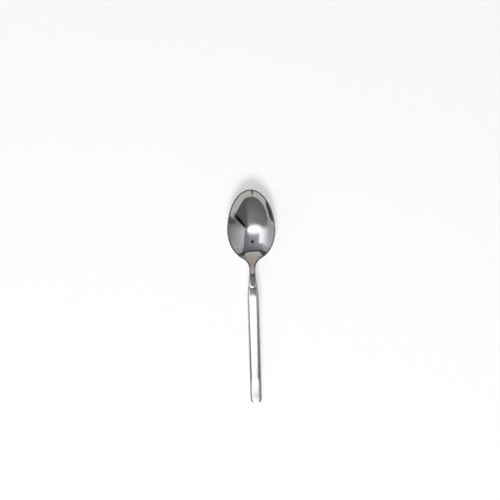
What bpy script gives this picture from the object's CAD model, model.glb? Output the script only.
import math

import bpy
import numpy as np
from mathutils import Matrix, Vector


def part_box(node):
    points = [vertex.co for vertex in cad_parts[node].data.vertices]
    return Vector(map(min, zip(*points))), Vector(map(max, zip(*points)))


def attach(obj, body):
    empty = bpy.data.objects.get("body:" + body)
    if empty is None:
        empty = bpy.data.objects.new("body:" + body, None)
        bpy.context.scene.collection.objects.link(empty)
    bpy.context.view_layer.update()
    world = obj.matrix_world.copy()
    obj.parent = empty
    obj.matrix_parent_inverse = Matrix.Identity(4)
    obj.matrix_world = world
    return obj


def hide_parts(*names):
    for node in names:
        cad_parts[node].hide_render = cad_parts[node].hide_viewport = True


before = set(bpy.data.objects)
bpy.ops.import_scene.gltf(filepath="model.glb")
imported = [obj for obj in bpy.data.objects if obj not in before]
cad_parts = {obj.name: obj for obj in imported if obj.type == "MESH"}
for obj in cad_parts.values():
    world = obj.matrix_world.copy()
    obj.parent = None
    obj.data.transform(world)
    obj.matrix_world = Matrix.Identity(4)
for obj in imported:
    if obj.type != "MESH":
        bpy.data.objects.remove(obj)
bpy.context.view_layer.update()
mm = 0.001
print("frame loaded:", ", ".join(sorted(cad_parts)))


def linearColour(hexCode):  # sRGB hex to the linear values that a shader takes
    parts = [int(hexCode[i:i + 2], 16) / 255 for i in (1, 3, 5)]
    return [p / 12.92 if p <= 0.04045 else ((p + 0.055) / 1.055) ** 2.4 for p in parts] + [1.0]


def feed(tree, sockets, inputs):  # inputs are values, or the sockets or nodes that give them
    for socket, value in inputs.items():
        if isinstance(value, bpy.types.Node):
            value = value.outputs[0]
        if isinstance(value, bpy.types.NodeSocket):
            tree.links.new(value, sockets[socket])
        else:
            sockets[socket].default_value = value


def addNode(tree, kind, inputs=None, **settings):
    node = tree.nodes.new(kind)
    for name, value in settings.items():
        setattr(node, name, value)
    feed(tree, node.inputs, inputs or {})
    return node


def newObject(name, data):
    piece = bpy.data.objects.new(name, data)
    bpy.context.scene.collection.objects.link(piece)
    return piece


def finishPiece(piece, node):
    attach(piece, "root")
    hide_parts(node)
    print("piece ready:", piece.name, len(piece.data.polygons), "faces")


def smoothStep(share):
    share = np.clip(share, 0.0, 1.0)
    return share * share * (3 - 2 * share)


def cubicBezier(points, count):
    t = np.linspace(0, 1, count)[:, None]
    a, b, c, d = (np.array(p, float) for p in points)
    return (1 - t) ** 3 * a + 3 * (1 - t) ** 2 * t * b + 3 * (1 - t) * t ** 2 * c + t ** 3 * d


# materials

def newMaterial(name, metallic=0.0):
    material = bpy.data.materials.new(name)
    material.use_nodes = True
    tree = material.node_tree
    shader = tree.nodes["Principled BSDF"]
    shader.inputs["Metallic"].default_value = metallic
    return material, tree, shader.inputs, addNode(tree, "ShaderNodeTexCoord").outputs["Object"]


steelFinish = {
    "colour": "#d9d9db",
    "warmColour": "#d2d0cd",
    "roughness": 0.025,
    "edgeColour": "#77777b",  # the cut edge of the rim, which polishing reaches least
    "wornRoughness": 0.3,
    "hairlineMm": 0.22,  # real polishing lines are near 0.02 mm, drawn coarser so that they show
    "hairlineLengthMm": 7.0,
    "hairlineDepthMm": 0.0006,
    "hairlineLevels": (0.56, 0.74),  # of the noise, between which a line comes up
    "hairlineDulling": 0.35,
    "smudgeMm": 8.0,
    "smudgeLevels": (0.45, 0.75),
    "smudgeDulling": 0.5,
}


# stainless steel, pressed and mirror polished: crisp dark and light reflections, faint hairlines
def polishedSteel():
    material, tree, surface, place = newMaterial("stainlessSteelMirrorPolished", metallic=1.0)
    across, along = 1 / (steelFinish["hairlineMm"] * mm), 1 / (steelFinish["hairlineLengthMm"] * mm)
    lines = addNode(tree, "ShaderNodeMapping", {"Vector": place, "Scale": (across, along, across)})
    hairlines = addNode(tree, "ShaderNodeTexNoise", {"Vector": lines, "Scale": 1.0, "Detail": 3.0})
    low, high = steelFinish["hairlineLevels"]
    sparse = addNode(tree, "ShaderNodeMapRange", {"Value": hairlines, 1: low, 2: high})
    fineness = 1 / (steelFinish["smudgeMm"] * mm)
    smudges = addNode(tree, "ShaderNodeTexNoise", {
        "Vector": place, "Scale": fineness, "Detail": 2.0, "Roughness": 0.6})
    low, high = steelFinish["smudgeLevels"]
    handled = addNode(tree, "ShaderNodeMapRange", {
        "Value": smudges, 1: low, 2: high, 3: 0.0, 4: steelFinish["smudgeDulling"]})
    wear = addNode(tree, "ShaderNodeAttribute", attribute_name="edgeWear").outputs["Fac"]
    dulled = addNode(tree, "ShaderNodeMath", {0: sparse, 1: steelFinish["hairlineDulling"], 2: handled},
                     operation="MULTIPLY_ADD")
    dulledOrWorn = addNode(tree, "ShaderNodeMath", {0: dulled, 1: wear}, operation="MAXIMUM")
    roughness = addNode(tree, "ShaderNodeMapRange", {
        "Value": dulledOrWorn, 3: steelFinish["roughness"], 4: steelFinish["wornRoughness"]})
    tint = addNode(tree, "ShaderNodeMix", {
        "Factor": smudges, 6: linearColour(steelFinish["colour"]),
        7: linearColour(steelFinish["warmColour"])}, data_type="RGBA")
    edgeTint = addNode(tree, "ShaderNodeMix", {
        "Factor": wear, 6: tint.outputs[2], 7: linearColour(steelFinish["edgeColour"])}, data_type="RGBA")
    relief = addNode(tree, "ShaderNodeBump", {
        "Height": sparse, "Strength": 0.3, "Distance": steelFinish["hairlineDepthMm"] * mm}, invert=True)
    feed(tree, surface, {"Base Color": edgeTint.outputs[2], "Roughness": roughness, "Normal": relief})
    return material


brazeFinish = {
    "colour": "#d8d4c8",
    "dullColour": "#a9a598",
    "roughness": (0.16, 0.34),
    "grainMm": 0.35,
    "grainDepthMm": 0.01,
}


def silverBraze():  # silver braze, flowed and polished back: softer and yellower than the steel beside it
    material, tree, surface, place = newMaterial("silverBrazeFlowed", metallic=1.0)
    grain = addNode(tree, "ShaderNodeTexNoise", {
        "Vector": place, "Scale": 1 / (brazeFinish["grainMm"] * mm), "Detail": 3.0})
    tint = addNode(tree, "ShaderNodeMix", {
        "Factor": grain, 6: linearColour(brazeFinish["colour"]),
        7: linearColour(brazeFinish["dullColour"])}, data_type="RGBA")
    smooth, dull = brazeFinish["roughness"]
    roughness = addNode(tree, "ShaderNodeMapRange", {"Value": grain, 3: smooth, 4: dull})
    relief = addNode(tree, "ShaderNodeBump", {
        "Height": grain, "Strength": 0.4, "Distance": brazeFinish["grainDepthMm"] * mm})
    feed(tree, surface, {"Base Color": tint.outputs[2], "Roughness": roughness, "Normal": relief})
    return material


cementFinish = {
    "colour": "#6f675c",
    "darkColour": "#4a443c",
    "roughness": 0.85,
    "grainMm": 0.6,
    "grainDepthMm": 0.1,
}


def cutleryCement():  # resin and brick dust, cast hot: a dull brown-grey mass with a sandy grain
    material, tree, surface, place = newMaterial("cutleryCementCast")
    fineness = 1 / (cementFinish["grainMm"] * mm)
    grain = addNode(tree, "ShaderNodeTexNoise", {
        "Vector": place, "Scale": fineness, "Detail": 5.0, "Roughness": 0.7})
    tint = addNode(tree, "ShaderNodeMix", {
        "Factor": grain, 6: linearColour(cementFinish["darkColour"]),
        7: linearColour(cementFinish["colour"])}, data_type="RGBA")
    relief = addNode(tree, "ShaderNodeBump", {
        "Height": grain, "Strength": 0.6, "Distance": cementFinish["grainDepthMm"] * mm})
    feed(tree, surface, {
        "Base Color": tint.outputs[2], "Roughness": cementFinish["roughness"], "Normal": relief})
    return material


steel = polishedSteel()
braze = silverBraze()
cement = cutleryCement()
print("materials ready:", steel.name, braze.name, cement.name)

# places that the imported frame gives, in millimetres

headLow, headHigh = (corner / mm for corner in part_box("bowl_head"))
ringLow, ringHigh = (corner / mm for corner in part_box("joint_braze_ring"))
shellLow, shellHigh = (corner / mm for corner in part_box("handle_front_shell"))
tipY, jointY, mouthY, endY = headHigh.y, ringHigh.y, ringLow.y, shellLow.y
jointMidZ = (ringHigh.z + ringLow.z) / 2
restMidZ = shellLow.z  # the front shell starts at the middle of the handle's thickness

# bowl and neck

headShape = {
    "tipReach": 26.5,  # widest section to the tip
    "backReach": 19.5,  # widest section to the back of the oval
    "neckWidth": 4.3,
    "neckNarrowsAt": 5.8,
    "blendAngle": 65.0,
    "jointWidth": 6.6,
    "jointFlare": 0.1,
    "rimLand": 0.4,  # how far the rim is ground down at the tip
    "tipAngle": 36.0,
    "tipLead": 13.0,
    "floorSetback": 7.1,
    "floorRadius": 47.0,
    "riseSetback": 2.0,
    "riseHeight": 6.8,
    "riseAngle": 38.0,
    "archHeight": shellHigh.z,
    "rimBackHeight": 7.2,
    "neckCrowns": (1.35, 0.5),  # how far the upper and the lower face fall away at the edges of the joint
    "backLip": (0.95, 4),  # fall at the rim, and the power of the distance across that it follows
    "backLipRun": (4.0, 9.0),  # starts this far in front of the floor, and grows over this length
    "sheet": 1.5,
    "jointThick": 3.4,
    "bowlRimInsets": (0.75, 0.22),  # where the rounded rim leaves the upper and lower faces
    "neckRimInsets": (0.4, 0.5),
    "rimFullness": 0.6,
    "shoulder": 0.3,  # rounding of the neck's end at the joint
    "shoulderDip": (2.4, 10.0),  # length and radius of the gentle fall of the upper face towards the joint
    "wearReach": 0.13,  # over which the rim's wear dies out on the faces
    "rimWear": 0.85,  # how far the rim is from a full polish
    "neckWear": 0.3,  # and the edges of the neck, as a share of that
    "jointPolish": 6.0,  # towards the joint the wear fades out over this length
    "shoulderWear": 0.1,
    "tang": (4.2, 1.2, 24.0),
    "tangRoot": 1.0,  # how far the tang's bar reaches into the neck
    "tangSteps": 30,
    "fanShare": 0.6,  # in front of this share of the tip's reach the mesh fans out from one point
    "outlineStep": 0.3,
    "rows": (38, 14, 30),  # mesh rows over the upper face, round the rim and over the lower face
}
bowlWidth = headHigh.x - headLow.x
widestY = tipY - headShape["tipReach"]
ovalBackY = widestY - headShape["backReach"]
floorY = widestY - headShape["floorSetback"]
riseY = ovalBackY - headShape["riseSetback"]
narrowY = ovalBackY - headShape["neckNarrowsAt"]
blendY = widestY - headShape["backReach"] * math.sin(math.radians(headShape["blendAngle"]))
tipHeight = headHigh.z + headShape["rimLand"]
tipSlope = math.tan(math.radians(headShape["tipAngle"]))
riseSlope = math.tan(math.radians(headShape["riseAngle"]))
rimSlope = (tipHeight - headShape["rimBackHeight"]) / (tipY - ovalBackY)


def headProfile():  # height of the upper face along the middle, from the joint to beyond the tip
    sheet, archHeight = headShape["sheet"], headShape["archHeight"]
    riseHeight, floorRadius = headShape["riseHeight"], headShape["floorRadius"]
    leadY = tipY - headShape["tipLead"] * math.cos(math.radians(headShape["tipAngle"]))
    leadZ = tipHeight - headShape["tipLead"] * math.sin(math.radians(headShape["tipAngle"]))
    floorLead = math.sqrt((leadZ - sheet) * floorRadius * 2 / 3)
    turnLead = floorY - riseY - (riseHeight - sheet) / riseSlope
    turnZ = sheet + turnLead ** 2 / floorRadius * 3 / 2
    turnY = riseY + (riseHeight - turnZ) / riseSlope
    crestY = riseY - (archHeight - riseHeight) / riseSlope
    middle = ((riseY + crestY) / 2, (riseHeight + archHeight) / 2)
    stretches = [
        [(jointY, archHeight), (crestY, archHeight), middle, (riseY, riseHeight)],
        [(riseY, riseHeight), (turnY, turnZ), (floorY - turnLead, sheet), (floorY, sheet)],
        [(floorY, sheet), (floorY + floorLead, sheet), (leadY, leadZ), (tipY, tipHeight)],
    ]
    line = np.vstack([cubicBezier(stretch, count=3000)[:-1] for stretch in stretches] + [[(tipY, tipHeight)]])
    margin = 3.0
    before, beyond = (jointY - margin, archHeight), (tipY + margin, tipHeight + margin * tipSlope)
    return np.vstack([[before], line, [beyond]])


profile = headProfile()


def ovalHalfWidth(y):
    reach = np.where(y > widestY, headShape["tipReach"], headShape["backReach"])
    return bowlWidth / 2 * np.sqrt(np.clip(1 - ((y - widestY) / reach) ** 2, 0.0, 1.0))


def neckShare(y):  # from none in the bowl to all in the neck
    return smoothStep((blendY - y) / (blendY - narrowY))


def dishAt(y):  # rise across the bowl, per square of the distance from the middle
    tipDish = (tipSlope - rimSlope) * headShape["tipReach"] / (bowlWidth ** 2 / 2)
    middle = np.interp(np.maximum(y, blendY), profile[:, 0], profile[:, 1])
    rim = tipHeight - (tipY - np.maximum(y, blendY)) * rimSlope
    half = np.maximum(ovalHalfWidth(np.maximum(y, blendY)), 1.0)
    dish = np.where(y > tipY - headShape["rimLand"], tipDish, (rim - middle) / half ** 2)
    return dish * (1 - neckShare(y))


def crownAt(y, fall):  # the neck's faces grow rounder towards the joint
    return smoothStep((riseY - y) / (riseY - jointY)) ** 2 * fall / (headShape["jointWidth"] / 2) ** 2


def lipAt(x, y):  # the back of the bowl opens out towards its rim
    fall, power = headShape["backLip"]
    share = np.abs(x) / np.maximum(ovalHalfWidth(np.maximum(y, blendY)), 1.0)
    start, length = headShape["backLipRun"]
    towardsBack = smoothStep((floorY + start - y) / length) * (1 - neckShare(y))
    share = np.minimum(share, 1.1)  # it goes on a little past the rim, for the slopes there
    return fall * towardsBack * share ** power


def upperHeight(x, y):
    length, radius = headShape["shoulderDip"]
    dip = np.maximum(jointY + length - y, 0.0) ** 2 / (2 * radius)
    bend = dishAt(y) - crownAt(y, headShape["neckCrowns"][0])
    return np.interp(y, profile[:, 0], profile[:, 1]) + bend * x ** 2 - dip - lipAt(x, y)


def lowerHeight(x, y):
    thick = headShape["sheet"] + (headShape["jointThick"] - headShape["sheet"]) * smoothStep(
        (floorY - y) / (floorY - jointY))
    bend = dishAt(y) + crownAt(y, headShape["neckCrowns"][1])
    return np.interp(y, profile[:, 0], profile[:, 1]) - thick + bend * x ** 2 - lipAt(x, y)


def slopes(height, x, y, step=0.05):
    acrossSlope = (height(x + step, y) - height(x - step, y)) / (2 * step)
    alongSlope = (height(x, y + step) - height(x, y - step)) / (2 * step)
    return acrossSlope, alongSlope


def halfOutline():  # plan of the right half, from the tip round to the joint, in even steps
    front = np.radians(np.linspace(90, 0, 400))
    back = np.radians(np.linspace(0, -headShape["blendAngle"], 300))[1:]
    x = [bowlWidth / 2 * np.cos(front), bowlWidth / 2 * np.cos(back)]
    y = [widestY + headShape["tipReach"] * np.sin(front), widestY + headShape["backReach"] * np.sin(back)]
    blendSlope = bowlWidth / 2 * math.tan(math.radians(headShape["blendAngle"])) / headShape["backReach"]
    knots = [
        (blendY, x[1][-1], blendSlope),
        (narrowY, headShape["neckWidth"] / 2, 0.0),
        (jointY + headShape["shoulder"], headShape["jointWidth"] / 2, -headShape["jointFlare"]),
    ]
    for (y0, x0, m0), (y1, x1, m1) in zip(knots, knots[1:]):  # cubic stretches with the given end slopes
        t = np.linspace(0, 1, 200)[1:]
        run = y1 - y0
        x.append((1 + 2 * t) * (1 - t) ** 2 * x0 + t * (1 - t) ** 2 * run * m0
                 + t * t * (3 - 2 * t) * x1 + t * t * (t - 1) * run * m1)
        y.append(y0 + t * run)
    x, y = np.concatenate(x), np.concatenate(y)
    length = np.concatenate([[0], np.cumsum(np.hypot(np.diff(x), np.diff(y)))])
    even = np.linspace(0, length[-1], int(length[-1] / headShape["outlineStep"]))
    return np.interp(even, length, x), np.interp(even, length, y)


def rimBullnose(x, y, outX, outY):  # rounded edge from the upper face to the lower one, touching the outline
    toNeck = neckShare(y)
    insets = [b + (n - b) * toNeck for b, n in zip(headShape["bowlRimInsets"], headShape["neckRimInsets"])]
    share = np.linspace(0, 1, headShape["rows"][1] + 1)[:, None]
    for attempt in range(6):  # the insets settle until the rounding just touches the outline
        ends = []
        for inset, height in zip(insets, (upperHeight, lowerHeight)):
            px, py = x - inset * outX, y - inset * outY
            acrossSlope, alongSlope = slopes(height, px, py)
            ends.append((-inset, height(px, py), acrossSlope * outX + alongSlope * outY))
        (q0, z0, m0), (q3, z3, m3) = ends
        lead = headShape["rimFullness"] * np.hypot(q3 - q0, z3 - z0)
        q1, z1 = q0 + lead / np.hypot(1, m0), z0 + lead * m0 / np.hypot(1, m0)
        q2, z2 = q3 + lead / np.hypot(1, m3), z3 + lead * m3 / np.hypot(1, m3)
        a, b, c, d = (1 - share) ** 3, 3 * (1 - share) ** 2 * share, 3 * (1 - share) * share ** 2, share ** 3
        q = a * q0 + b * q1 + c * q2 + d * q3
        z = a * z0 + b * z1 + c * z2 + d * z3
        insets = [inset + q.max(axis=0) for inset in insets]
    return q, z


def headMesh():
    halfX, halfY = halfOutline()
    x, y = np.concatenate([halfX[::-1], -halfX[1:]]), np.concatenate([halfY[::-1], halfY[1:]])
    outX, outY = np.gradient(y), -np.gradient(x)
    straight = smoothStep((narrowY - y) / (narrowY - jointY) * 1.5)  # square to the neck before the joint
    outY = outY * (1 - straight)
    long = np.hypot(outX, outY)
    outX, outY = outX / long, outY / long
    q, rimZ = rimBullnose(x, y, outX, outY)
    rimX, rimY = x + q * outX, y + q * outY
    fanY = tipY - headShape["tipReach"] * headShape["fanShare"]
    upperShare = np.linspace(0, 1, headShape["rows"][0] + 1)[:-1, None]
    lowerShare = np.linspace(1, 0, headShape["rows"][2] + 1)[1:, None]
    spineY = np.minimum(rimY, fanY)
    upX, upY = rimX[0] * upperShare, spineY[0] + (rimY[0] - spineY[0]) * upperShare
    lowX, lowY = rimX[-1] * lowerShare, spineY[-1] + (rimY[-1] - spineY[-1]) * lowerShare
    points = np.dstack([
        np.vstack([upX, rimX, lowX]),
        np.vstack([upY, rimY, lowY]),
        np.vstack([upperHeight(upX, upY), rimZ, lowerHeight(lowX, lowY)]),
    ])
    normals = np.cross(np.gradient(points, axis=0), np.gradient(points, axis=1))
    upRows, lowRows = upX.shape[0], lowX.shape[0]
    faces = (slice(0, upRows + 1), upperHeight, 1), (slice(-lowRows - 1, None), lowerHeight, -1)
    for rows, height, sign in faces:
        acrossSlope, alongSlope = slopes(height, points[rows, :, 0], points[rows, :, 1])
        normals[rows] = np.dstack([-acrossSlope, -alongSlope, np.ones_like(acrossSlope)]) * sign
    normals /= np.linalg.norm(normals, axis=2, keepdims=True)
    reach = np.hypot(points[:, :, 0] - rimX[0], points[:, :, 1] - rimY[0])
    wear = np.exp(-reach / headShape["wearReach"])
    wear[upRows:-lowRows] = 1.0
    middleY = (blendY + narrowY) / 2
    toNeck = smoothStep((middleY - points[:, :, 1]) / (middleY - narrowY))
    wear *= headShape["rimWear"] * (1 + (headShape["neckWear"] - 1) * toNeck)
    wear *= smoothStep((points[:, :, 1] - jointY) / headShape["jointPolish"])
    return points, normals, wear


def gridFaces(index, closed=False):  # quads between rows, without those that have shrunk to a line
    faces = []
    columns = index.shape[1] if closed else index.shape[1] - 1
    for i in range(index.shape[0] - 1):
        for j in range(columns):
            k = (j + 1) % index.shape[1]
            corners = [index[i, j], index[i, k], index[i + 1, k], index[i + 1, j]]
            face = [c for n, c in enumerate(corners) if c != corners[n - 1]]
            if len(face) > 2:
                faces.append(face)
    return faces


def handleLine(startY):  # middle line of the handle: level, down round a bend, straight, and level again
    drop, reach = jointMidZ - restMidZ, jointY - handleShape["archLevel"] - endY - handleShape["restLevel"]
    archRadius, restRadius = handleShape["archRadius"], handleShape["restRadius"]
    radii = archRadius + restRadius
    angle = math.atan2(reach, radii - drop) - math.acos(radii / math.hypot(reach, radii - drop))
    bendSteps, straightSteps = handleShape["lineSteps"]
    turn = np.linspace(0, angle, bendSteps)
    archY, restY = jointY - handleShape["archLevel"], endY + handleShape["restLevel"]
    first = np.column_stack([archY - archRadius * np.sin(turn), jointMidZ - archRadius * (1 - np.cos(turn))])
    last = np.column_stack([restY + restRadius * np.sin(turn), restMidZ + restRadius * (1 - np.cos(turn))])
    last = last[::-1]
    straight = first[-1] + (last[0] - first[-1]) * np.linspace(0, 1, straightSteps)[1:-1, None]
    first = first[first[:, 0] < startY]
    return np.vstack([[(startY, jointMidZ)], first, straight, last, [(endY, restMidZ)]])


def buildHead():
    points, normals, wear = headMesh()
    loop = np.vstack([points[:, 0], points[::-1, -1]])
    loopNormals = np.vstack([normals[:, 0], normals[::-1, -1]])
    flat = loopNormals[:, [0, 2]] / np.linalg.norm(loopNormals[:, [0, 2]], axis=1, keepdims=True)
    shoulderPoints, shoulderNormals = [], []
    turns = np.radians((0, 22, 45, 67, 90))
    for turn in turns:  # rounded shoulder down to the joint
        ring = loop.copy()
        ring[:, 1] = jointY + headShape["shoulder"] * (1 - math.sin(turn))
        ring[:, [0, 2]] -= flat * headShape["shoulder"] * (1 - math.cos(turn))
        shoulderPoints.append(ring)
        facing = np.zeros_like(ring)
        facing[:, [0, 2]] = flat * math.cos(turn)
        facing[:, 1] = -math.sin(turn)
        shoulderNormals.append(facing)
    width, thick, length = headShape["tang"]
    line = handleLine(jointY + headShape["tangRoot"])
    along = np.concatenate([[0], np.cumsum(np.hypot(*np.diff(line, axis=0).T))])
    steps = np.linspace(0, length + headShape["tangRoot"], headShape["tangSteps"])
    tangY, tangZ = np.interp(steps, along, line[:, 0]), np.interp(steps, along, line[:, 1])
    corners = [(-1, -1), (1, -1), (1, 1), (-1, 1)]
    tang = np.array([[(sx * width / 2, ty, tz + sz * thick / 2) for sx, sz in corners]
                     for ty, tz in zip(tangY, tangZ)])
    slant = 0.7  # the normals of the bar's edges point out between its faces
    tangNormals = np.array([[(sx * slant, 0.0, sz * slant) for sx, sz in corners]] * len(steps))
    blocks = [(points, normals, wear)]
    shoulderWear = np.full((len(turns), len(loop)), headShape["shoulderWear"])
    blocks.append((np.array(shoulderPoints), np.array(shoulderNormals), shoulderWear))
    blocks.append((tang, tangNormals, np.zeros(tang.shape[:2])))
    allPoints = np.vstack([block[0].reshape(-1, 3) for block in blocks])
    allNormals = np.vstack([block[1].reshape(-1, 3) for block in blocks])
    allWear = np.concatenate([block[2].ravel() for block in blocks])
    keys = np.round(allPoints * 1e4).astype(np.int64)  # points closer than 0.1 micrometre are one
    _, first, whole = np.unique(keys, axis=0, return_index=True, return_inverse=True)
    whole = whole.ravel()
    headIndex = whole[:points.shape[0] * points.shape[1]].reshape(points.shape[:2])
    start = headIndex.size
    tangStart = start + len(turns) * len(loop)
    shoulderIndex = whole[start:tangStart].reshape(len(turns), -1)
    tangIndex = whole[tangStart:].reshape(-1, len(corners))
    faces = gridFaces(headIndex.T)
    faces += gridFaces(shoulderIndex[::-1], closed=True)
    cap = [c for n, c in enumerate(shoulderIndex[-1]) if c != shoulderIndex[-1][n - 1]]
    faces.append(cap[::-1])
    faces += gridFaces(tangIndex, closed=True)
    faces += [list(tangIndex[0][::-1]), list(tangIndex[-1])]
    mesh = bpy.data.meshes.new("bowlHead")
    mesh.from_pydata(allPoints[first] * mm, [], faces)
    mesh.polygons.foreach_set("use_smooth", [True] * len(mesh.polygons))
    worn = mesh.attributes.new("edgeWear", "FLOAT", "POINT")
    worn.data.foreach_set("value", allWear[first])
    mesh.normals_split_custom_set_from_vertices(allNormals[first].tolist())
    mesh.materials.append(steel)
    mesh.validate()
    return newObject("bowlHead", mesh)


# handle

handleShape = {
    "width": shellHigh.x - shellLow.x,
    "edgeRadius": 2.4,  # the broad rounding along each long edge, which stops at the edge tilt
    "edgeTilt": 48.0,
    "flankRadius": 0.3,  # the tight rounding from there down to the flank
    "endRoll": 0.1,  # the broad rounding's reach in from the end, as a share of that from the sides
    "crownRadii": {1.0: 16.0, -1.0: 40.0},  # across the top, and across the back, which is nearly flat
    "mouthCrownRadii": {1.0: 12.0, -1.0: 40.0},  # and the same at the mouth
    "endTaperLength": 10.0,
    "edgeWear": 0.35,  # how far the rounded edges are from a full polish
    "wearRun": 18.0,  # next to the joint they keep it, and the wear grows over this length
    "endTapers": {1.0: 0.35, -1.0: 0.0},  # how much thinner the top and the back are at the end
    "cornerRadius": 2.4,
    "endBulge": 0.35,
    "mouthNarrowing": 0.35,  # how much narrower the mouth is than the rest
    "mouthTaper": 6.0,
    "archLevel": 0.2,
    "archRadius": 48.0,
    "restRadius": 100.0,
    "restLevel": 4.2,
    "lineSteps": (24, 60),  # along each bend and along the straight
    "wall": 0.8,
    "seamBevel": 0.05,  # the two halves meet in a fine line
    "bevelAngle": 50.0,
    "along": 460,
    "across": 30,
    "crowding": 1.3,  # power that draws the mesh together towards the end
    "sectionShares": (0.07, 0.25, 0.65),  # of the mesh across, to the end of flank, tight and broad rounding
    "wornShares": (0.6, 0.4),  # between which the wear of the edges grows
}
quarterTurn = math.pi / 2
flankEnd, tightEnd, broadEnd = handleShape["sectionShares"]
polishedShare, wornShare = handleShape["wornShares"]
shellRules = [  # the values that the shell's nodes work out: name, operation and terms
    # outline of the plan, followed from the middle of the end back along each side to the mouth
    ("side", "SIGN", "x"),
    ("outward", "ABSOLUTE", "x"),
    ("closer", "POWER", "outward", handleShape["crowding"]),
    ("half", "MULTIPLY", "Width", 0.5),
    ("endHalf", "SUBTRACT", "half", "Corner Radius"),
    ("quarter", "MULTIPLY", "Corner Radius", quarterTurn),
    ("endAndCorner", "ADD", "endHalf", "quarter"),
    ("lessBulge", "SUBTRACT", "length", "End Bulge"),
    ("sideRun", "SUBTRACT", "lessBulge", "Corner Radius"),
    ("allRun", "ADD", "endAndCorner", "sideRun"),
    ("run", "MULTIPLY", "closer", "allRun"),
    ("onEnd", "MINIMUM", "run", "endHalf"),
    ("pastEnd", "SUBTRACT", "run", "endHalf"),
    ("turned", "DIVIDE", "pastEnd", "Corner Radius"),
    ("turn", "CLAMP", "turned", 0.0, quarterTurn),
    ("pastCorner", "SUBTRACT", "run", "endAndCorner"),
    ("onSide", "MAXIMUM", "pastCorner", 0.0),
    ("turnSin", "SINE", "turn"),
    ("turnCos", "COSINE", "turn"),
    ("outlineX", "MULTIPLY_ADD", "Corner Radius", "turnSin", "onEnd"),
    ("cornerRise", "SUBTRACT", 1.0, "turnCos"),
    ("cornerBack", "MULTIPLY_ADD", "Corner Radius", "cornerRise", "onSide"),
    ("widthShare", "DIVIDE", "outlineX", "half"),
    ("bulgeShare", "POWER", "widthShare", 2.0),
    ("outlineBack", "MULTIPLY_ADD", "End Bulge", "bulgeShare", "cornerBack"),
    # section from the seam up the flank, round the tight and the broad rounding and across the crowned top
    ("across", "ADD", "y", 0.5),
    ("flankShare", "RANGE", "across", 0.0, flankEnd, 0.0, 1.0),
    ("upTilt", "SUBTRACT", quarterTurn, "Edge Tilt"),
    ("tightTurn", "RANGE", "across", flankEnd, tightEnd, 0.0, "upTilt"),
    ("tilt", "RANGE", "across", tightEnd, broadEnd, "Edge Tilt", 0.0),
    ("inward", "RANGE", "across", broadEnd, 1.0, 0.0, 1.0),
    ("fullSin", "SINE", "Edge Tilt"),
    ("fullCos", "COSINE", "Edge Tilt"),
    ("tiltSin", "SINE", "tilt"),
    ("tiltCos", "COSINE", "tilt"),
    ("tightSin", "SINE", "tightTurn"),
    ("tightCos", "COSINE", "tightTurn"),
    ("tightIn", "SUBTRACT", 1.0, "tightCos"),
    ("tightInset", "MULTIPLY", "Flank Radius", "tightIn"),
    ("broadIn", "SUBTRACT", "fullSin", "tiltSin"),
    ("broadInset", "MULTIPLY", "Edge Radius", "broadIn"),
    ("inset", "ADD", "tightInset", "broadInset"),
    ("endInset", "MULTIPLY_ADD", "broadInset", "End Roll", "tightInset"),
    ("insetX", "MULTIPLY", "inset", "turnSin"),
    ("edgeX", "SUBTRACT", "outlineX", "insetX"),
    ("kept", "SUBTRACT", 1.0, "inward"),
    ("flatX", "MULTIPLY", "edgeX", "kept"),
    ("edgeBack", "MULTIPLY_ADD", "endInset", "turnCos", "outlineBack"),
    ("spineBack", "MAXIMUM", "edgeBack", "half"),
    ("toSpine", "SUBTRACT", "spineBack", "edgeBack"),
    ("back", "MULTIPLY_ADD", "toSpine", "inward", "edgeBack"),
    ("handleCrown", "DIVIDE", 0.5, "Crown Radius"),
    ("mouthCrown", "DIVIDE", 0.5, "Mouth Crown Radius"),
    ("taperEnd", "SUBTRACT", "length", "Mouth Taper"),
]
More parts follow.
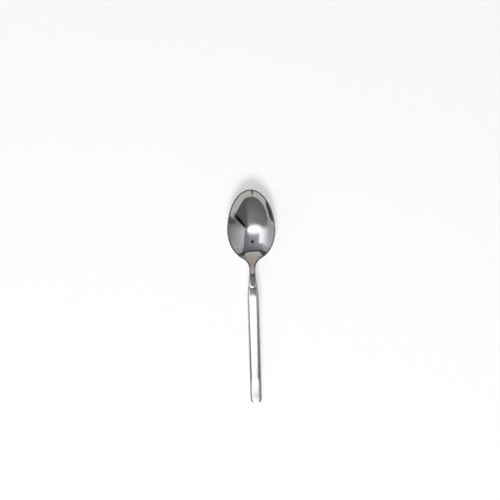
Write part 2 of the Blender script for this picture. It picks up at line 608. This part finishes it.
# what the crown and the taper of the end take away, at the outline and at the point itself
for part, sideways, backwards in (("outline", "outlineX", "outlineBack"), ("point", "flatX", "back")):
    shellRules += [
        (part + "Square", "MULTIPLY", sideways, sideways),
        (part + "Crown", "SMOOTH RANGE", backwards, "taperEnd", "length", "handleCrown", "mouthCrown"),
        (part + "Fall", "MULTIPLY", part + "Square", part + "Crown"),
        (part + "ToEnd", "RANGE", backwards, 0.0, "End Taper Length", 1.0, 0.0),
        (part + "Taper", "POWER", part + "ToEnd", 2.0),
        (part + "Drop", "MULTIPLY_ADD", "End Taper", part + "Taper", part + "Fall"),
    ]
shellRules += [
    # height above the seam
    ("halfThick", "MULTIPLY", "Thickness", 0.5),
    ("broadDrop", "SUBTRACT", 1.0, "fullCos"),
    ("broadFoot", "MULTIPLY_ADD", "Edge Radius", "broadDrop", "outlineDrop"),
    ("tightFoot", "MULTIPLY_ADD", "Flank Radius", "fullCos", "broadFoot"),
    ("flank", "SUBTRACT", "halfThick", "tightFoot"),
    ("rise", "SUBTRACT", "outlineDrop", "pointDrop"),
    ("flankUp", "MULTIPLY_ADD", "flank", "flankShare", "rise"),
    ("tightUp", "MULTIPLY_ADD", "Flank Radius", "tightSin", "flankUp"),
    ("broadShare", "SUBTRACT", "tiltCos", "fullCos"),
    ("height", "MULTIPLY_ADD", "Edge Radius", "broadShare", "tightUp"),
    ("signedHeight", "MULTIPLY", "height", "Side"),
    # the mouth draws in to the width of the joint
    ("station", "SUBTRACT", "length", "back"),
    ("fromMouth", "DIVIDE", "station", "Mouth Taper"),
    ("toMouth", "SUBTRACT", 1.0, "fromMouth"),
    ("nearMouth", "MAXIMUM", "toMouth", 0.0),
    ("drawnIn", "POWER", "nearMouth", 2.0),
    ("mouthShare", "DIVIDE", "Mouth Width", "Width"),
    ("mouthLoss", "SUBTRACT", "mouthShare", 1.0),
    ("mouthScale", "MULTIPLY_ADD", "mouthLoss", "drawnIn", 1.0),
    ("taperedX", "MULTIPLY", "flatX", "mouthScale"),
    ("signedX", "MULTIPLY", "taperedX", "side"),
    # wear of the rounded edges along the sides
    ("toEdge", "SMOOTH RANGE", "across", polishedShare, wornShare, 0.0, 1.0),
    ("sideShare", "MULTIPLY", "toEdge", "turnSin"),
    ("fullWear", "RANGE", "station", 0.0, "Wear Run", 0.0, "Edge Wear"),
    ("wear", "MULTIPLY", "sideShare", "fullWear"),
]
ruleNodes = {
    "CLAMP": ("ShaderNodeClamp", {}),
    "RANGE": ("ShaderNodeMapRange", {}),
    "SMOOTH RANGE": ("ShaderNodeMapRange", {"interpolation_type": "SMOOTHSTEP"}),
}


def newTree(name, inputs, output):  # a Geometry Nodes tree with its sockets, and what its inputs give
    tree = bpy.data.node_groups.new(name, "GeometryNodeTree")
    for socket, kind in inputs.items():
        tree.interface.new_socket(socket, in_out="INPUT", socket_type="NodeSocket" + kind)
    tree.interface.new_socket(output, in_out="OUTPUT", socket_type="NodeSocketGeometry")
    return tree, addNode(tree, "NodeGroupInput").outputs


def endTree(tree, shape, material, output):
    smooth = addNode(tree, "GeometryNodeSetShadeSmooth", {"Geometry": shape})
    real = addNode(tree, "GeometryNodeRealizeInstances", {"Geometry": smooth})
    dressed = addNode(tree, "GeometryNodeSetMaterial", {"Geometry": real, "Material": material})
    addNode(tree, "NodeGroupOutput", {output: dressed})


def handleShellTree():  # half a handle: a sheet laid along the line, rounded over its edges and its end
    sizes = ("Width", "Thickness", "Edge Radius", "Edge Tilt", "Flank Radius", "End Roll", "Crown Radius",
             "Mouth Crown Radius", "End Taper Length", "End Taper", "Corner Radius", "End Bulge",
             "Mouth Width", "Mouth Taper", "Side", "Edge Wear", "Wear Run")
    inputs = {"Line": "Geometry", **dict.fromkeys(sizes, "Float"), "Along": "Int", "Across": "Int",
              "Material": "Material"}
    tree, given = newTree("handleShell", inputs, "Shell")
    sheet = addNode(tree, "GeometryNodeMeshGrid", {
        "Size X": 2.0, "Size Y": 1.0, "Vertices X": given["Along"], "Vertices Y": given["Across"]})
    place = addNode(tree, "GeometryNodeInputPosition")
    cell = addNode(tree, "ShaderNodeSeparateXYZ", {0: place}).outputs
    line = addNode(tree, "GeometryNodeMeshToCurve", {"Mesh": given["Line"]})
    known = {size: given[size] for size in sizes}
    known["x"], known["y"] = cell["X"], cell["Y"]
    known["length"] = addNode(tree, "GeometryNodeCurveLength", {"Curve": line})
    for name, rule, *terms in shellRules:
        kind, settings = ruleNodes.get(rule, ("ShaderNodeMath", {"operation": rule}))
        values = {slot: known.get(term, term) for slot, term in enumerate(terms)}
        known[name] = addNode(tree, kind, values, **settings)
    # lay the flat sheet along the line, above it or below it
    onLine = addNode(tree, "GeometryNodeSampleCurve", {"Curves": line, "Length": known["station"]},
                     mode="LENGTH", use_all_curves=True).outputs
    upright = addNode(tree, "ShaderNodeVectorMath", {0: onLine["Tangent"], 1: (1.0, 0.0, 0.0)},
                      operation="CROSS_PRODUCT")
    lift = addNode(tree, "ShaderNodeVectorMath", {0: upright, "Scale": known["signedHeight"]},
                   operation="SCALE")
    lifted = addNode(tree, "ShaderNodeVectorMath", {0: onLine["Position"], 1: lift}, operation="ADD")
    sideways = addNode(tree, "ShaderNodeCombineXYZ", {"X": known["signedX"]})
    target = addNode(tree, "ShaderNodeVectorMath", {0: lifted, 1: sideways}, operation="ADD")
    worn = addNode(tree, "GeometryNodeStoreNamedAttribute", {
        "Geometry": sheet, "Name": "edgeWear", "Value": known["wear"]}, data_type="FLOAT", domain="POINT")
    bent = addNode(tree, "GeometryNodeSetPosition", {"Geometry": worn, "Position": target})
    below = addNode(tree, "FunctionNodeCompare", {0: given["Side"], 1: 0.0}, operation="LESS_THAN")
    facing = addNode(tree, "GeometryNodeFlipFaces", {"Mesh": bent, "Selection": below})
    joined = addNode(tree, "GeometryNodeMergeByDistance", {"Geometry": facing, "Distance": 1e-7})
    endTree(tree, joined, given["Material"], "Shell")
    return tree


def setInputs(modifier, values):
    for socket in modifier.node_group.interface.items_tree:
        if socket.in_out == "INPUT" and socket.name in values:
            modifier[socket.identifier] = values[socket.name]


def bakeModifiers(maker, name):  # the evaluated result as a plain mesh on a new object
    evaluated = maker.evaluated_get(bpy.context.evaluated_depsgraph_get())
    mesh = bpy.data.meshes.new_from_object(evaluated)
    mesh.name = name
    bpy.data.objects.remove(maker)
    return newObject(name, mesh)


def buildShell(name, tree, side):
    line = handleLine(mouthY)
    lineMesh = bpy.data.meshes.new(name + "Line")
    edges = [(i, i + 1) for i in range(len(line) - 1)]
    lineMesh.from_pydata([(0.0, y * mm, z * mm) for y, z in line], edges, [])
    maker = newObject(name + "Maker", lineMesh)
    shape = maker.modifiers.new("shape", "NODES")
    shape.node_group = tree
    setInputs(shape, {
        "Width": handleShape["width"] * mm,
        "Thickness": 2 * restMidZ * mm,
        "Edge Radius": handleShape["edgeRadius"] * mm,
        "Edge Tilt": math.radians(handleShape["edgeTilt"]),
        "Flank Radius": handleShape["flankRadius"] * mm,
        "End Roll": handleShape["endRoll"],
        "Crown Radius": handleShape["crownRadii"][side] * mm,
        "Mouth Crown Radius": handleShape["mouthCrownRadii"][side] * mm,
        "End Taper Length": handleShape["endTaperLength"] * mm,
        "End Taper": handleShape["endTapers"][side] * mm,
        "Corner Radius": handleShape["cornerRadius"] * mm,
        "End Bulge": handleShape["endBulge"] * mm,
        "Mouth Width": (handleShape["width"] - handleShape["mouthNarrowing"]) * mm,
        "Mouth Taper": handleShape["mouthTaper"] * mm,
        "Side": side,
        "Edge Wear": handleShape["edgeWear"],
        "Wear Run": handleShape["wearRun"] * mm,
        "Along": handleShape["along"],
        "Across": handleShape["across"],
        "Material": steel,
    })
    wall = maker.modifiers.new("wall", "SOLIDIFY")
    wall.thickness = handleShape["wall"] * mm
    wall.offset = -1.0
    wall.use_even_offset = True
    edge = maker.modifiers.new("edge", "BEVEL")
    edge.width = handleShape["seamBevel"] * mm
    edge.segments = 2
    edge.limit_method = "ANGLE"
    edge.angle_limit = math.radians(handleShape["bevelAngle"])
    weigh = maker.modifiers.new("weigh", "WEIGHTED_NORMAL")
    weigh.mode = "FACE_AREA"
    return bakeModifiers(maker, name)


# braze ring

ringShape = {
    "depth": 0.5,
    "sink": 0.2,  # below the neck and the handle, so that the joint is a groove
    "profileCorner": 0.12,
    "steps": 72,
}


def brazeRingTree():  # a rounded bead of braze that follows the joint all round
    inputs = {"Gap": "Float", "Depth": "Float", "Profile Corner": "Float", "Steps": "Int",
              "Half Size": "Vector", "Centre": "Vector", "Material": "Material"}
    tree, given = newTree("brazeRing", inputs, "Ring")
    circle = addNode(tree, "GeometryNodeCurvePrimitiveCircle", {"Resolution": given["Steps"], "Radius": 1.0})
    oval = addNode(tree, "GeometryNodeTransform", {"Geometry": circle, "Scale": given["Half Size"]})
    bar = addNode(tree, "GeometryNodeCurvePrimitiveQuadrilateral", {
        "Width": given["Depth"], "Height": given["Gap"]})
    roundBar = addNode(tree, "GeometryNodeFilletCurve", {
        "Curve": bar, "Radius": given["Profile Corner"], "Count": 4}, mode="POLY")
    bead = addNode(tree, "GeometryNodeCurveToMesh", {"Curve": oval, "Profile Curve": roundBar})
    stood = addNode(tree, "GeometryNodeTransform", {
        "Geometry": bead, "Translation": given["Centre"], "Rotation": (quarterTurn, 0.0, 0.0)})
    endTree(tree, stood, given["Material"], "Ring")
    return tree


def buildBrazeRing():
    maker = newObject("brazeRingMaker", bpy.data.meshes.new("brazeRingMaker"))
    shape = maker.modifiers.new("shape", "NODES")
    shape.node_group = brazeRingTree()
    inset = (ringShape["depth"] / 2 + ringShape["sink"]) * mm  # the path runs along the middle of the bead
    halfWidth, halfHeight = (ringHigh.x - ringLow.x) / 2 * mm, (ringHigh.z - ringLow.z) / 2 * mm
    setInputs(shape, {
        "Half Size": (halfWidth - inset, halfHeight - inset, 1.0),
        "Gap": (ringHigh.y - ringLow.y) * mm,
        "Steps": ringShape["steps"],
        "Depth": ringShape["depth"] * mm,
        "Profile Corner": ringShape["profileCorner"] * mm,
        "Centre": (ringLow + ringHigh) / 2 * mm,
        "Material": braze,
    })
    return bakeModifiers(maker, "brazeRing")


finishPiece(buildHead(), "bowl_head")
shellTree = handleShellTree()
finishPiece(buildShell("handleFrontShell", shellTree, 1.0), "handle_front_shell")
finishPiece(buildShell("handleBackShell", shellTree, -1.0), "handle_back_shell")
finishPiece(buildBrazeRing(), "joint_braze_ring")
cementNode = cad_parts["tang_cement"]
cementNode.data.materials.clear()
cementNode.data.materials.append(cement)

# studio: a pale floor inside a light tent whose panels show in the steel

tent = {
    "radius": 2.5,
    "centreY": 40.0,
    "wallTone": "#aeaeb1",
    "wallEdge": 90.0,  # degrees from straight up
    "layerStep": 0.02,  # panels of a higher layer hang this much lower
}
# each panel lies between two edges, given as degrees east and north of straight up; its tones belong to
# its corners, and it thins out to its west, east, upper and lower edge over the shares given as soft
tentPanels = [
    {"name": "westWall", "layer": 1, "tones": ("#c2c2c8", "#cfcfd6", "#b0b0b6", "#c4c4cc"),
     "soft": (0, 0.3, 0.35, 0.45),
     "upper": [(-89, 36), (-48, 26)],
     "lower": [(-89, -28), (-46, -26)]},
    {"name": "eastWall", "layer": 1, "tones": ("#bcbcc0", "#b4b4b6", "#e4e4e8", "#7a7a7e"),
     "soft": (0, 0, 0.25, 0),
     "upper": [(44, 24), (66, 30), (89, 26)],
     "lower": [(30, -15), (58, -14), (89, -12)]},
    {"name": "eastLow", "layer": 1, "tones": ("#e4e4e8", "#7a7a7e", "#808084", "#545458"),
     "upper": [(30, -15), (58, -14), (89, -12)],
     "lower": [(30, -24), (58, -28), (89, -28)]},
    {"name": "ceiling", "layer": 2, "tones": ("#6c6c72", "#5e5e64", "#c4c8d2", "#878998"),
     "soft": (0.08, 0.04, 0, 0),
     "upper": [(-66, 42), (-36, 30), (0, 28), (32, 32), (58, 44)],
     "lower": [(-36, -13), (-10, -14), (10, -15), (29, -17)]},
    {"name": "westWindow", "layer": 3, "tones": ("#e8ecf8", "#ffffff", "#f0f2fa", "#ffffff"),
     "strength": 1.5, "soft": (0.75, 0.3, 0.14, 0.2),
     "upper": [(-76, 24), (-64, 18), (-54, 10), (-43, 8), (-31, 7)],
     "lower": [(-76, -19), (-54, -20), (-30, -22)]},
    {"name": "northWall", "layer": 1, "tones": ("#b2a296", "#a8998e", "#d2cecc", "#c6c2c0"),
     "upper": [(-72, 78), (-30, 84), (0, 86), (30, 84), (58, 78)],
     "lower": [(-58, 42), (-38, 32), (-8, 28), (18, 29), (42, 40)]},
    {"name": "northEdge", "layer": 3, "tones": ("#58585c", "#484a4e", "#505156", "#4a4c54"),
     "soft": (0, 0, 0.2, 0.3),
     "upper": [(-58, 82), (-53, 58), (-47, 42), (-37, 34), (-18, 31.5), (4, 31), (26, 34), (40, 44),
               (46, 62), (46, 84)],
     "lower": [(-84, 70), (-72, 50), (-62, 36), (-46, 27), (-20, 23), (4, 22.5), (30, 26), (52, 36),
               (70, 50), (88, 66)]},
    {"name": "southWall", "layer": 1, "tones": ("#cfcdca",) * 4,
     "upper": [(-84, -16), (-50, -38), (0, -50), (50, -36), (84, -27)],
     "lower": [(-84, -34), (-62, -66), (0, -90), (62, -66), (86, -34)]},
    {"name": "openFront", "layer": 2, "tones": ("#8a8a88", "#b4b4b2", "#6a6a68", "#666664"),
     "soft": (0.03, 0, 0, 0.04),
     "upper": [(-67, -19.5), (-30, -19.5), (0, -19.5), (30, -20), (67, -30)],
     "lower": [(-67, -28), (-55, -44), (-30, -57), (-2, -61), (26, -57), (48, -45), (67, -31)]},
    {"name": "openFrontEast", "layer": 3, "tones": ("#6c6c6a", "#5c5c5a", "#636361", "#606060"),
     "soft": (0.35, 0, 0, 0),
     "upper": [(11, -20), (30, -20), (66, -30)],
     "lower": [(2, -60), (26, -56), (48, -44), (66, -31.5)]},
    {"name": "frontBar", "layer": 4, "tones": ("#060606", "#060606", "#0a0a0a", "#0a0a0a"),
     "soft": (0.03, 0.04, 0.08, 0.08),
     "upper": [(25.5, -20.5), (46, -25), (67, -30.5)],
     "lower": [(26.5, -23.2), (46, -31.4), (65, -36.5)]},
    {"name": "westLow", "layer": 2, "tones": ("#a6a6aa", "#a6a6aa", "#b4b4b6", "#b4b4b6"),
     "soft": (0, 0.2, 0.4, 0.1),
     "upper": [(-80, -17), (-66, -17)],
     "lower": [(-76, -24), (-72, -27), (-68, -32)]},
    {"name": "westGap", "layer": 3, "tones": ("#525254", "#444444", "#484848", "#484848"),
     "soft": (0, 0.1, 0.08, 0),
     "upper": [(-86, -19), (-77, -22.5), (-70, -29), (-64, -38), (-57, -50)],
     "lower": [(-94, -36), (-86, -52), (-64, -66)]},
    {"name": "eastGap", "layer": 2, "tones": ("#58585c", "#4c4c50", "#5c5c60", "#545458"),
     "soft": (0.25, 0, 0.2, 0.2),
     "upper": [(60, -23), (90, -18)],
     "lower": [(66, -29), (90, -33)]},
    {"name": "southSeam", "layer": 3, "tones": ("#4c4a48",) * 4,
     "soft": (0.15, 0.15, 0.1, 0),
     "upper": [(-8.5, -60), (-7, -60)],
     "lower": [(-20, -76), (1, -76)]},
    {"name": "lampStrip", "layer": 5, "tones": ("#fffefc",) * 4,
     "strength": 1.85, "soft": (0.25, 0.25, 0.5, 0.4),
     "upper": [(-55, -8.5), (-30, -7.3), (-8, -7.3), (10, -9), (23, -12.5)],
     "lower": [(-55, -21), (-30, -26), (-8, -27.3), (9, -24.5), (22, -18.5)]},
]
cameraSetup = {  # the height in metres, the rest in millimetres and degrees
    "height": 1.0,
    "x": -1.17,
    "y": 30.15,
    "frameWidth": 324.2,
    "roll": -1.67,
    "shade": (130.0, 42.0),  # half sizes of the dark disc that stands for the camera in the mirror
    "shadeCentre": (-78.0, 38.0),
    "shadeAbove": 20.0,
    "shadeTone": "#101012",
}
floorSetup = {
    "radius": 2.3,
    "colour": "#fafafa",
    "roughness": 0.9,
    "gloss": 0.1,
    "grainMm": 0.5,
    "grainDepthMm": 0.02,
    "whiteShare": 0.4,
    "fade": (0.3, 1.2),  # metres from the middle, over which the floor goes to plain white
}
lampSetup = {"place": (-0.15, -1.05, 1.65), "size": 0.8, "watts": 28.0}


def glowMaterial(name, strength):  # shines in its own tone and lets the wall behind show where it thins out
    material = bpy.data.materials.new(name)
    material.use_nodes = True
    tree = material.node_tree
    tree.nodes.clear()
    tone = addNode(tree, "ShaderNodeAttribute", attribute_name="tone").outputs
    glow = addNode(tree, "ShaderNodeEmission", {"Color": tone["Color"], "Strength": strength})
    clear = addNode(tree, "ShaderNodeBsdfTransparent")
    laid = addNode(tree, "ShaderNodeMixShader", {0: tone["Alpha"], 1: clear, 2: glow})
    addNode(tree, "ShaderNodeOutputMaterial", {"Surface": laid})
    return material


def tentPoint(east, north, radius):
    angle = math.hypot(east, north)
    level = radius * math.sin(math.radians(angle)) / max(angle, 1e-6)
    return (east * level, north * level + tent["centreY"] * mm, radius * math.cos(math.radians(angle)))


def alongEdge(edge, share):  # a smooth curve through the edge's points
    edge = np.array(edge, float)
    spot = share * (len(edge) - 1)
    start = np.minimum(spot.astype(int), len(edge) - 2)
    t = (spot - start)[:, None]
    a, b, c, d = (edge[np.clip(start + step, 0, len(edge) - 1)] for step in (-1, 0, 1, 2))
    return b + t / 2 * (c - a + t * (2 * a - 5 * b + 4 * c - d + t * (3 * b - 3 * c + d - a)))


def hangPanel(panel, columns=64, rows=32):
    radius = tent["radius"] - panel["layer"] * tent["layerStep"]
    shares = np.meshgrid(np.linspace(0, 1, columns + 1), np.linspace(0, 1, rows + 1))
    across, down = (share.ravel()[:, None] for share in shares)
    upper, lower = (alongEdge(panel[edge], across[:, 0]) for edge in ("upper", "lower"))
    points = [tentPoint(*spot, radius) for spot in upper + (lower - upper) * down]
    corners = np.array([linearColour(code) for code in panel["tones"]])
    tones = (corners[0] * (1 - across) + corners[1] * across) * (1 - down)
    tones += (corners[2] * (1 - across) + corners[3] * across) * down
    for share, soft in zip((across, 1 - across, down, 1 - down), panel.get("soft", ())):
        if soft:
            tones[:, 3:] *= smoothStep(share / soft)
    mesh = bpy.data.meshes.new(panel["name"])
    mesh.from_pydata(points, [], gridFaces(np.arange(len(points)).reshape(rows + 1, columns + 1)))
    mesh.attributes.new("tone", "FLOAT_COLOR", "POINT").data.foreach_set("color", tones.ravel())
    mesh.materials.append(glowMaterial(panel["name"], panel.get("strength", 1.0)))
    card = newObject(panel["name"], mesh)
    card.visible_camera = False


def floorPaper():  # white card, uncoated: flat, a little grain, no gloss
    material, tree, surface, place = newMaterial("whiteCardUncoated")
    grain = addNode(tree, "ShaderNodeTexNoise", {"Vector": place, "Scale": 1 / (floorSetup["grainMm"] * mm)})
    relief = addNode(tree, "ShaderNodeBump", {
        "Height": grain, "Strength": 0.05, "Distance": floorSetup["grainDepthMm"] * mm})
    feed(tree, surface, {
        "Base Color": linearColour(floorSetup["colour"]), "Roughness": floorSetup["roughness"],
        "Specular IOR Level": floorSetup["gloss"], "Normal": relief})
    seen = addNode(tree, "ShaderNodeLightPath").outputs
    mirrored = addNode(tree, "ShaderNodeMath", {0: seen["Is Camera Ray"], 1: seen["Is Glossy Ray"]},
                       operation="MAXIMUM")
    away = addNode(tree, "ShaderNodeVectorMath", {0: place}, operation="LENGTH").outputs["Value"]
    near, far = floorSetup["fade"]
    fade = addNode(tree, "ShaderNodeMapRange", {"Value": away, 1: near, 2: far, 3: floorSetup["whiteShare"]},
                   interpolation_type="SMOOTHSTEP")
    whiteShare = addNode(tree, "ShaderNodeMath", {0: mirrored, 1: fade}, operation="MULTIPLY")
    white = addNode(tree, "ShaderNodeEmission", {"Strength": 1.0})
    card = tree.nodes["Principled BSDF"]
    laid = addNode(tree, "ShaderNodeMixShader", {0: whiteShare, 1: card, 2: white})
    feed(tree, tree.nodes["Material Output"].inputs, {"Surface": laid})
    return material


def layFloor():
    turns = np.radians(np.arange(0, 360, 5))
    mesh = bpy.data.meshes.new("floor")
    rim = [(floorSetup["radius"] * math.cos(t), floorSetup["radius"] * math.sin(t), 0.0) for t in turns]
    mesh.from_pydata(rim, [], [list(range(len(rim)))])
    mesh.materials.append(floorPaper())
    newObject("floor", mesh)


def hangCameraShade():  # the dark camera and its arm, which the bowl's floor mirrors as a small spot
    turns = np.linspace(0, 2 * math.pi, 48, endpoint=False)
    halfX, halfY = (half * mm for half in cameraSetup["shade"])
    centreX, centreY = (spot * mm for spot in cameraSetup["shadeCentre"])
    height = cameraSetup["height"] + cameraSetup["shadeAbove"] * mm
    rim = [(centreX + halfX * math.cos(t), centreY + halfY * math.sin(t), height) for t in turns]
    mesh = bpy.data.meshes.new("cameraShade")
    mesh.from_pydata(rim, [], [list(range(len(rim)))])
    tones = linearColour(cameraSetup["shadeTone"]) * len(rim)
    mesh.attributes.new("tone", "FLOAT_COLOR", "POINT").data.foreach_set("color", tones)
    mesh.materials.append(glowMaterial("cameraShade", 1.0))
    shade = newObject("cameraShade", mesh)
    shade.visible_camera = False
    shade.visible_shadow = False


def hangLamp():  # a soft lamp that lights the floor and casts the shadow, hidden from the steel's mirror
    lamp = newObject("softLamp", bpy.data.lights.new("softLamp", "AREA"))
    lamp.data.shape = "DISK"
    lamp.data.size = lampSetup["size"]
    lamp.data.energy = lampSetup["watts"]
    lamp.location = lampSetup["place"]
    lamp.rotation_euler = Vector(lampSetup["place"]).to_track_quat("Z", "Y").to_euler()
    lamp.visible_glossy = False


layFloor()
hangLamp()
hangCameraShade()
wallTurns = np.radians(np.linspace(0, 180, 37))
wallEast, wallNorth = tent["wallEdge"] * np.cos(wallTurns), tent["wallEdge"] * np.sin(wallTurns)
hangPanel({"name": "tentWall", "layer": 0, "tones": (tent["wallTone"],) * 4,
           "upper": np.column_stack([wallEast, wallNorth]),
           "lower": np.column_stack([wallEast, -wallNorth])}, columns=72, rows=36)
for panel in tentPanels:
    hangPanel(panel)
world = bpy.data.worlds.new("studio")
world.use_nodes = True
world.node_tree.nodes["Background"].inputs["Color"].default_value = (1.0, 1.0, 1.0, 1.0)
bpy.context.scene.world = world
print("studio ready:", len(tentPanels), "panels")

camera = newObject("camera", bpy.data.cameras.new("camera"))
camera.data.sensor_width = 36.0
camera.data.lens = camera.data.sensor_width * cameraSetup["height"] / (cameraSetup["frameWidth"] * mm)
camera.data.clip_start = 0.01
camera.location = (cameraSetup["x"] * mm, cameraSetup["y"] * mm, cameraSetup["height"])
camera.rotation_euler = (0.0, 0.0, math.radians(cameraSetup["roll"]))
bpy.context.scene.camera = camera
bpy.context.scene.view_settings.view_transform = "Standard"
print("camera ready: lens", round(camera.data.lens, 1))
